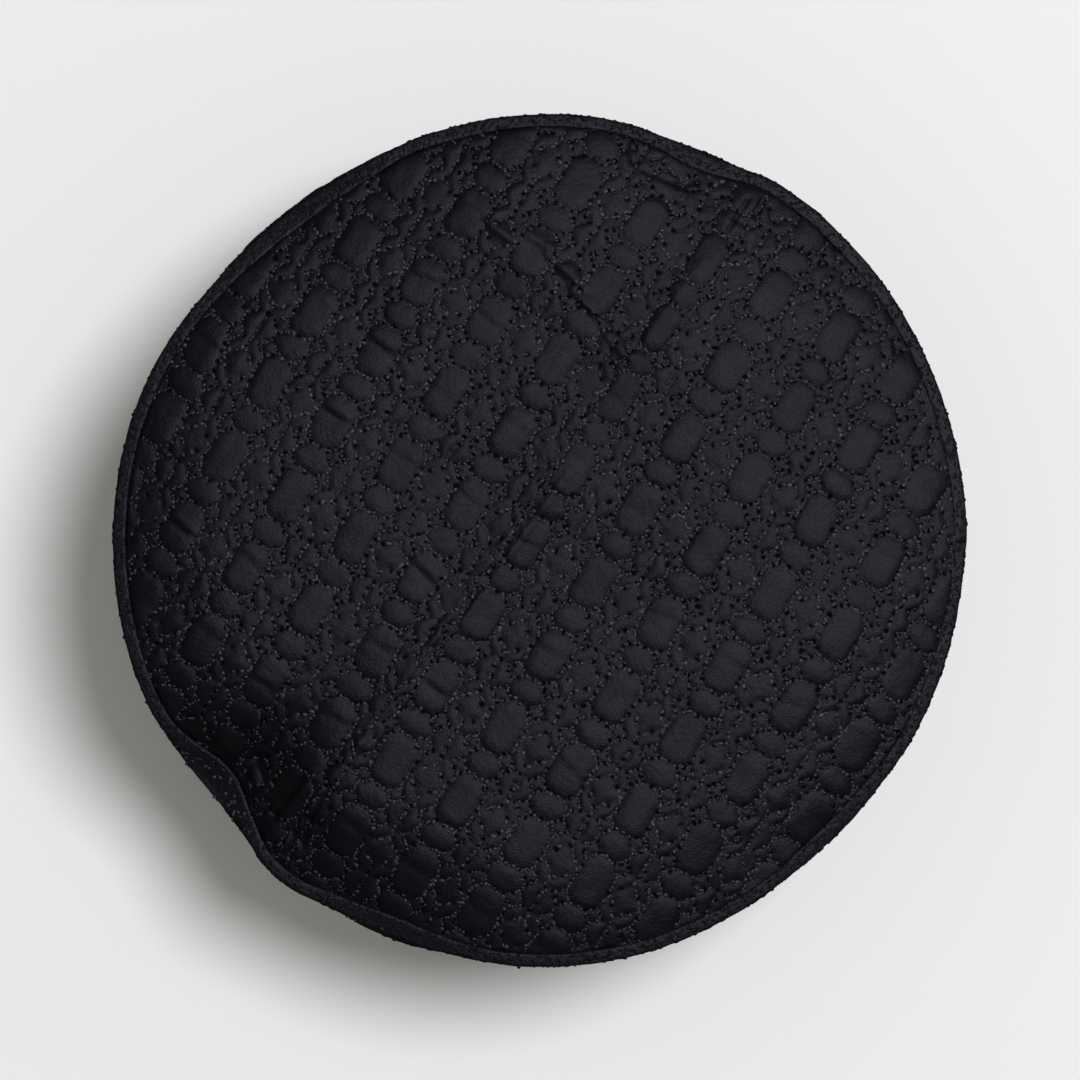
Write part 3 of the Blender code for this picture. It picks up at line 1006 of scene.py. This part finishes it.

# %% [markdown]
# Materials
#
# The cloth is a dull black cotton with a faint blue cast. It is so dark that most of what the camera sees is
# the soft shine of its fibres, so roughness, tint and a fine weave matter more than the colour. The thread
# is a little paler and glossier. The needle holes and the thread's ends are painted with shade, the darkest
# spots.

# %% Small helpers for nodes


def add_node(tree, kind, label="", inputs=None, **settings):
    """A new node. Each of its named or numbered inputs gets a value or a link from another node's output."""
    node = tree.nodes.new(kind)
    node.label = label
    for name, value in settings.items():
        setattr(node, name, value)
    for socket, value in (inputs or {}).items():
        if isinstance(value, bpy.types.NodeSocket):
            tree.links.new(value, node.inputs[socket])
        elif value is not None:
            node.inputs[socket].default_value = value
    return node


def calculate(tree, operation, first, second=None, label=""):
    """A Math node on one or two inputs."""
    node = add_node(tree, "ShaderNodeMath", label, {0: first, 1: second}, operation=operation)
    return node.outputs["Value"]


def multiply(tree, first, second, label=""):
    return calculate(tree, "MULTIPLY", first, second, label)


def vector_math(tree, operation, inputs, label):
    return add_node(tree, "ShaderNodeVectorMath", label, inputs, operation=operation)


def split_vector(tree, vector, label):
    return add_node(tree, "ShaderNodeSeparateXYZ", label, {"Vector": vector}).outputs


def spread_value(tree, value, low, high, to_low, to_high, label=""):
    """A Map Range node that carries one range of values over to another, smoothly."""
    inputs = {"Value": value, "From Min": low, "From Max": high, "To Min": to_low, "To Max": to_high}
    node = add_node(tree, "ShaderNodeMapRange", label, inputs, interpolation_type="SMOOTHSTEP")
    return node.outputs["Result"]


def blend_colours(tree, share, first, second, label=""):
    inputs = {"Factor": share, "A": first, "B": second}
    return add_node(tree, "ShaderNodeMix", label, inputs, data_type="RGBA").outputs["Result"]


def noise(tree, coordinates, scale, detail, label="", output="Fac"):
    inputs = {"Vector": coordinates, "Scale": scale, "Detail": detail}
    return add_node(tree, "ShaderNodeTexNoise", label, inputs).outputs[output]


WALL_PALER = 4.5


def painted_light_on_wall(tree, colour, height, low, high):
    """Painted light: the colour, WALL_PALER times paler where the height is under low and as it is where it is
    over high.
    """
    times = spread_value(tree, height, low, high, WALL_PALER, 1.0, "how much")
    return vector_math(tree, "SCALE", {0: colour, "Scale": times}, "paler wall").outputs["Vector"]


def start_material(name):
    material = bpy.data.materials.new(name)
    material.use_nodes = True
    return material, material.node_tree, material.node_tree.nodes["Principled BSDF"]


def bump(tree, shader, height, distance, strength):
    inputs = {"Distance": distance, "Strength": strength, "Height": height}
    node = add_node(tree, "ShaderNodeBump", "raised detail", inputs)
    tree.links.new(node.outputs["Normal"], shader.inputs["Normal"])


print("node helpers ready")

# %% [markdown]
# The cotton
#
# For the needle holes the UV map is folded to the charted quarter, and the distance to its nearest hole
# gives a round spot of painted shade. A picture of the holes would blur up close, and the chart has them
# already.

# %% Find the needle holes
def wandered(tree, chart_place):
    """The chart's places, each moved a little its own way, so that the needle holes wander."""
    spots = noise(tree, chart_place, 0.8, 1.0, "needle's wander", output="Color")
    centred = vector_math(tree, "SUBTRACT", {0: spots, 1: (0.5, 0.5, 0.5)}, "both ways").outputs["Vector"]
    inputs = {0: centred, 1: (0.9, 0.9, 0.0), 2: chart_place}
    return vector_math(tree, "MULTIPLY_ADD", inputs, "moved").outputs["Vector"]


def nearest_hole(tree, chart_place):
    """The distance in mm to the nearest needle hole, by folding the UV map to the charted quarter."""
    place = split_vector(tree, wandered(tree, chart_place), "chart place")
    right = calculate(tree, "PINGPONG", place["X"], REPEAT_ACROSS / 2.0, "folded across")
    above = calculate(tree, "PINGPONG", place["Y"], REPEAT_UP / 2.0, "folded up")
    inputs = {"X": multiply(tree, right, STEP_ACROSS), "Y": multiply(tree, above, STEP_UP)}
    quarter = add_node(tree, "ShaderNodeCombineXYZ", "quarter in mm", inputs).outputs["Vector"]
    nearest = None
    for x, y in QUARTER_HOLES:
        inputs = {0: quarter, 1: (x * STEP_ACROSS, y * STEP_UP, 0.0)}
        distance = vector_math(tree, "DISTANCE", inputs, "from a hole").outputs["Value"]
        nearest = distance if nearest is None else calculate(tree, "MINIMUM", nearest, distance, "nearest")
    return nearest


print("needle holes in the charted quarter:", len(QUARTER_HOLES))

# %% [markdown]
# Dye and weave
#
# The weave is two sets of threads that cross, three to a millimetre, drawn from the chart's UV map. Broad
# mottling is the uneven dye. The photograph shows only the top of the band. Under a light from overhead the
# wall below it would look black, so its cloth and thread are paler.

# %% Cotton
CLOTH_TONES = ((0.0020, 0.0022, 0.0028), (0.0032, 0.0034, 0.0044), (0.0062, 0.0067, 0.0085))
# The near-black colour below is painted shade, for the needle holes and for the thread's ends where they dive
# into the cloth.
PAINTED_SHADE_COLOUR = (0.0014, 0.0015, 0.0024, 1.0)
SHINE_TINT = (0.80, 0.84, 1.0, 1.0)
THREADS_PER_STEP = 6.5
CLOTH_ROUGHNESS = 0.46
WALL_FADE = (71.5, 76.0)


def cotton(name, hole_shade_and_depth, shine, paler, crumpled, wall=False):
    """A dull quilted cloth. Its tones are so many times paler than the darkest, and its shine is its own."""
    material, tree, shader = start_material(name)
    chart_place = add_node(tree, "ShaderNodeUVMap", "chart", uv_map="chart").outputs["UV"]
    mottle = noise(tree, chart_place, 0.35, 4.0, "uneven dye")
    lint = noise(tree, chart_place, 6.0, 3.0, "lint")
    dark_dye, pale_dye, lint_tone = [tuple(paler * value for value in tone) + (1.0,) for tone in CLOTH_TONES]
    colour = blend_colours(tree, spread_value(tree, mottle, 0.35, 0.65, 0.0, 1.0), dark_dye, pale_dye, "dye")
    place = split_vector(tree, chart_place, "weave place")
    warp, weft = [calculate(tree, "SINE", multiply(tree, place[way], THREADS_PER_STEP * math.tau))
                  for way in ("X", "Y")]
    weave = multiply(tree, warp, weft, "crossing threads")
    grain = spread_value(tree, lint, 0.3, 0.7, 0.0, 1.0, "grain")
    colour = blend_colours(tree, multiply(tree, grain, 0.6), colour, lint_tone, "lint")
    if wall:
        low, high = [(up - HEM - REPEAT_TALL / 2.0) / STEP_UP for up in WALL_FADE]
        # Painted light: the band's wall is made paler below its top, in place of light that the overhead lamp
        # doesn't give it.
        colour = painted_light_on_wall(tree, colour, place["Y"], low, high)
    crumple = noise(tree, chart_place, 2.0, 3.0, "crumpled")
    height = calculate(tree, "ADD", multiply(tree, weave, 0.12), multiply(tree, lint, 0.9))
    height = calculate(tree, "ADD", height, multiply(tree, crumple, crumpled))
    if hole_shade_and_depth > 0.0:
        # Painted shade: round near-black spots in the needle holes, where they lie in shade, with their shine
        # taken away.
        away = nearest_hole(tree, chart_place)
        wobble = multiply(tree, noise(tree, chart_place, 0.9, 2.0, "uneven holes"), 1.1)
        size = calculate(tree, "ADD", away, wobble)
        dark = spread_value(tree, size, 0.66, 1.12, 1.0, 0.0, "hole")
        dark = multiply(tree, dark, hole_shade_and_depth, "how dark")
        colour = blend_colours(tree, dark, colour, PAINTED_SHADE_COLOUR, "needle holes")
        dull = spread_value(tree, dark, 0.0, 1.0, CLOTH_ROUGHNESS, 1.0, "dull holes")
        tree.links.new(dull, shader.inputs["Roughness"])
        tint = blend_colours(tree, dark, SHINE_TINT, (0.0, 0.0, 0.0, 1.0), "no shine in the holes")
        tree.links.new(tint, shader.inputs["Specular Tint"])
        height = calculate(tree, "SUBTRACT", height, multiply(tree, dark, 1.5), "sunk holes")
    tree.links.new(colour, shader.inputs["Base Color"])
    shader.inputs["Roughness"].default_value = CLOTH_ROUGHNESS
    shader.inputs["Specular IOR Level"].default_value = shine
    shader.inputs["Specular Tint"].default_value = SHINE_TINT
    bump(tree, shader, height, 0.00016, 0.8)
    return material


# %% Give the cloths their cotton
crown_cotton = cotton("crown_cotton", hole_shade_and_depth=0.90, shine=0.225, paler=1.0, crumpled=1.2)
band_cotton = cotton("band_cotton", hole_shade_and_depth=0.5, shine=0.27, paler=1.6, crumpled=3.0, wall=True)
inside_cotton = cotton("inside_cotton", hole_shade_and_depth=0.0, shine=0.08, paler=5.0, crumpled=3.0)
for cloth, outside in ((crown_cloth, crown_cotton), (band_cloth, band_cotton)):
    cloth.data.materials.append(outside)
    cloth.data.materials.append(inside_cotton)
print("cotton nodes:", len(crown_cotton.node_tree.nodes))

# %% [markdown]
# The embroidery thread
#
# A stitch shows about four strands side by side. They are a ripple across the lump's own UV map, and each
# stitch has a tone of its own, which also sets how it gleams. The ends are painted dark with shade where they
# enter the cloth.

# %% Thread
THREAD_DARK = (0.004, 0.0045, 0.006, 1.0)
CROWN_PALE = (0.012, 0.0135, 0.0165, 1.0)
BAND_PALE = (0.012, 0.013, 0.016, 1.0)
THREAD_DULL = (0.55, 0.58, 0.68, 1.0)
THREAD_BRIGHT = (0.90, 0.94, 1.0, 1.0)
STRANDS = 4.0
THREAD_FADE = (0.066, 0.074)


def embroidery_thread(name, roughness, shine, pale, wall=False):
    material, tree, shader = start_material(name)
    strand_map = add_node(tree, "ShaderNodeUVMap", "strands", uv_map="strands").outputs["UV"]
    place = split_vector(tree, strand_map, "along and across")
    tone = add_node(tree, "ShaderNodeAttribute", "tone", attribute_name="tone").outputs["Fac"]
    colour = blend_colours(tree, tone, THREAD_DARK, pale, "tone")
    if wall:
        spot = add_node(tree, "ShaderNodeTexCoord", "place on the cap").outputs["Object"]
        # Painted light: the thread on the band's wall is made paler below the top, in place of light the
        # overhead lamp doesn't give it.
        colour = painted_light_on_wall(tree, colour, split_vector(tree, spot, "height on the cap")["Z"], *THREAD_FADE)
    # Painted shade: the thread darkens towards its ends, where it goes down into the holes and lies in shade.
    from_middle = calculate(tree, "ABSOLUTE", calculate(tree, "SUBTRACT", place["X"], 0.5))
    end = spread_value(tree, from_middle, 0.26, 0.47, 0.0, 1.0, "ends")
    colour = blend_colours(tree, end, colour, PAINTED_SHADE_COLOUR, "dark ends")
    tree.links.new(colour, shader.inputs["Base Color"])
    ripple = calculate(tree, "SINE", multiply(tree, place["Y"], STRANDS * math.tau))
    shader.inputs["Roughness"].default_value = roughness
    shader.inputs["Specular IOR Level"].default_value = shine
    gleam = blend_colours(tree, tone, THREAD_DULL, THREAD_BRIGHT, "gleam")
    tree.links.new(gleam, shader.inputs["Specular Tint"])
    bump(tree, shader, ripple, 0.00006, 0.3)
    return material


crown_thread = embroidery_thread("crown_thread", 0.62, 1.0, CROWN_PALE)
band_thread = embroidery_thread("band_thread", 0.6, 0.20, BAND_PALE, wall=True)
crown_stitches.data.materials.append(crown_thread)
band_stitches.data.materials.append(band_thread)
print("thread nodes:", len(crown_thread.node_tree.nodes))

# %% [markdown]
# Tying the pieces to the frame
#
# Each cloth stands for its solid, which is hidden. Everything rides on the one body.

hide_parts("crown")
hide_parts("side_band")
for piece in (crown_cloth, crown_stitches, band_cloth, band_stitches):
    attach(piece, "root")
